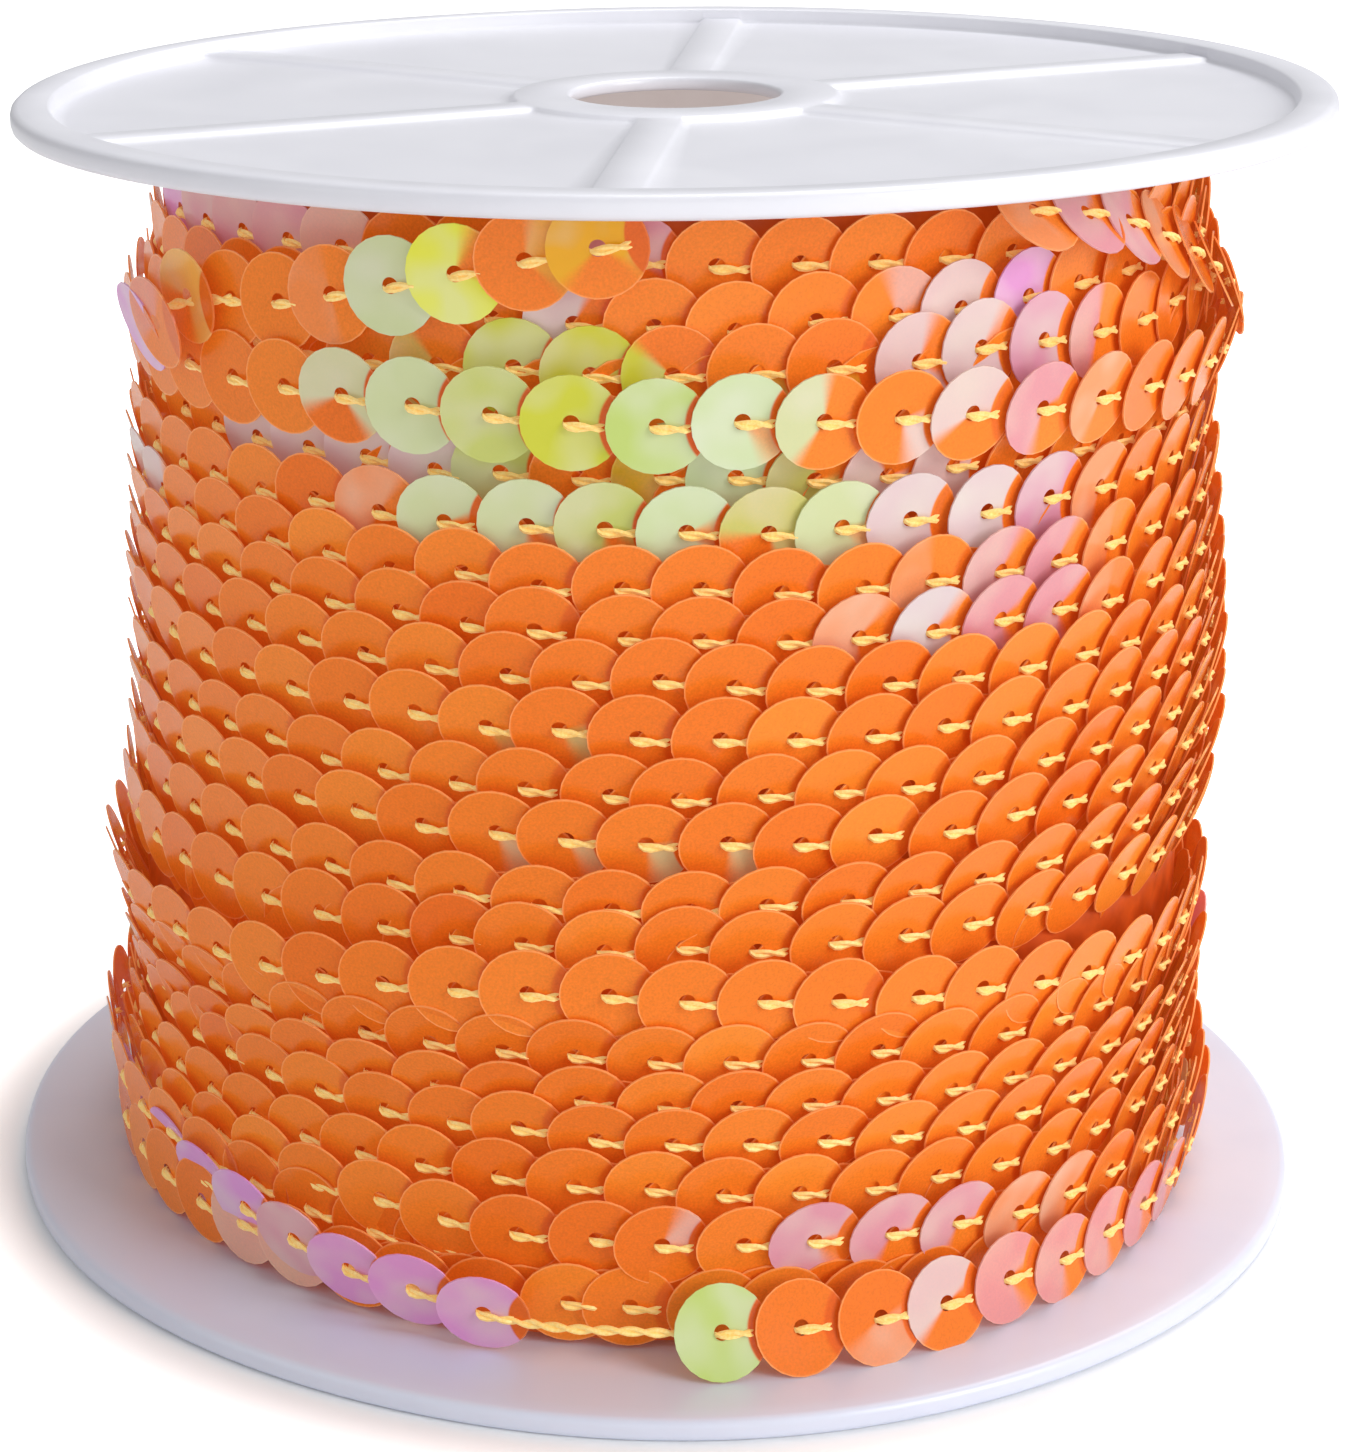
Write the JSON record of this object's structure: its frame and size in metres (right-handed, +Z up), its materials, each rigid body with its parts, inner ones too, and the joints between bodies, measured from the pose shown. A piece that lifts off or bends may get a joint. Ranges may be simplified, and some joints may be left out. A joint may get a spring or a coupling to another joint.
{
  "type": "sequin trim on a spool",
  "caption": "Round flat sequins threaded edge over edge into a trim, wound in shingled turns on a flanged plastic spool.",
  "frame": {"origin": "centre of the lower flange's face on the floor, which is the bottom centre of the bounding box", "axes": "+Z up along the spool's axis, which is the shortest side of the bounding box; -Y faces the viewer; +X to the viewer's right"},
  "size_m": [0.09, 0.09, 0.0762],
  "materials": {
    "sequin_film": "orange film with a clear coat that flashes green, yellow and pink",
    "spool_plastic": "semi-gloss white moulding"
  },
  "bodies": {
    "root": {"wound_trim": "sequin_film", "trim_end": "sequin_film", "barrel": "spool_plastic", "lower_flange": "spool_plastic", "upper_flange": "spool_plastic"}
  },
  "joints": []
}
